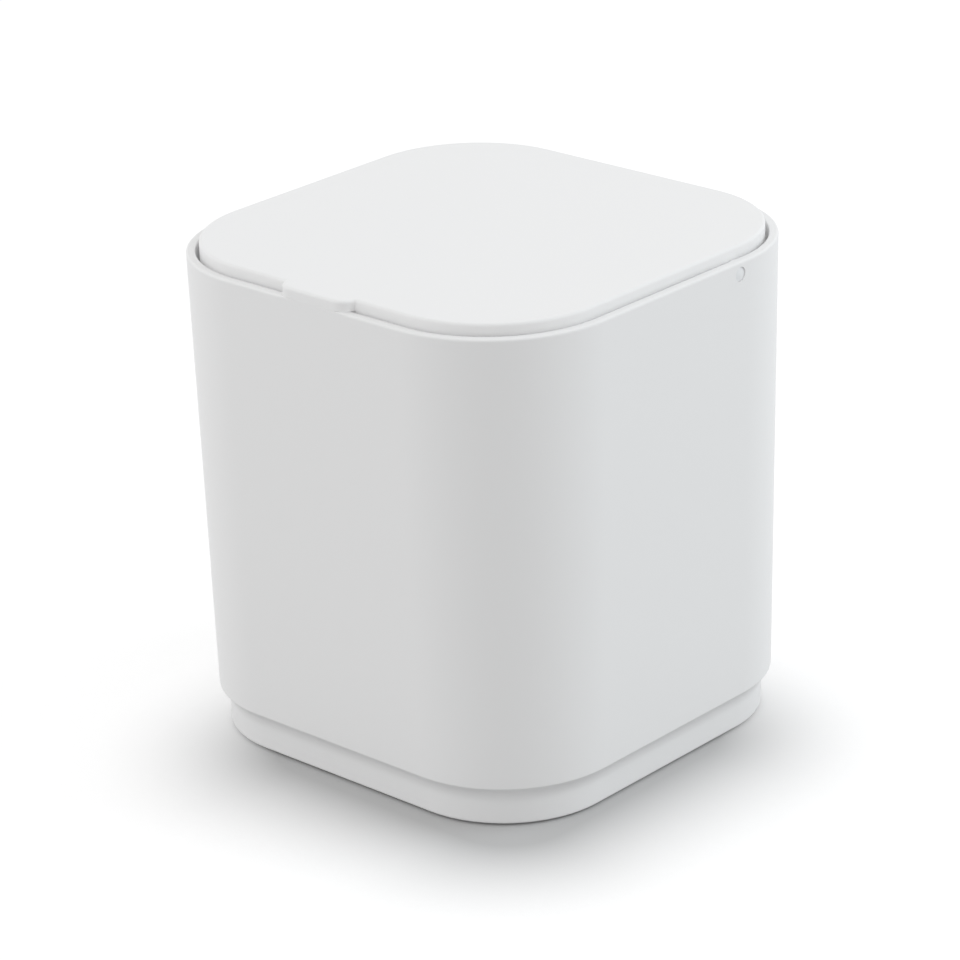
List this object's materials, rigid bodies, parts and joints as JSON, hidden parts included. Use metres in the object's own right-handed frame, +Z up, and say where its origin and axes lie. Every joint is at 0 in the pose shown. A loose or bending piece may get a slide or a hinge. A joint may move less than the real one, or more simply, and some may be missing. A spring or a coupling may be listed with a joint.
{
  "type": "countertop waste bin",
  "caption": "Small rounded-square plastic waste bin with a stepped foot and a flush see-saw lid that tips on two side pins.",
  "frame": {"origin": "on the surface the bin stands on, under the middle of the body", "axes": "+Z up, -Y towards the front with the finger tab, +X to the right seen from the front"},
  "size_m": [0.15, 0.1474, 0.1576],
  "materials": {
    "body_plastic": "satin white moulded polypropylene",
    "lid_plastic": "satin white moulded polypropylene",
    "frame_plastic": "matt white moulded polypropylene",
    "pin_plastic": "smooth white acetal",
    "pad_rubber": "pale grey soft elastomer"
  },
  "bodies": {
    "bin": {"bin_body": "body_plastic", "foot_pad_front_left": "pad_rubber", "foot_pad_front_right": "pad_rubber", "foot_pad_rear_left": "pad_rubber", "foot_pad_rear_right": "pad_rubber"},
    "lid": {"lid_cover": "lid_plastic", "lid_frame": "frame_plastic", "hinge_pin_left": "pin_plastic", "hinge_pin_right": "pin_plastic"}
  },
  "joints": [
    {"name": "lid_swing", "type": "hinge", "parent": "bin", "child": "lid", "pos_m": [0, 0.0291, 0.1504], "axis": [-1, 0, 0], "range_deg": [0, 75]}
  ]
}
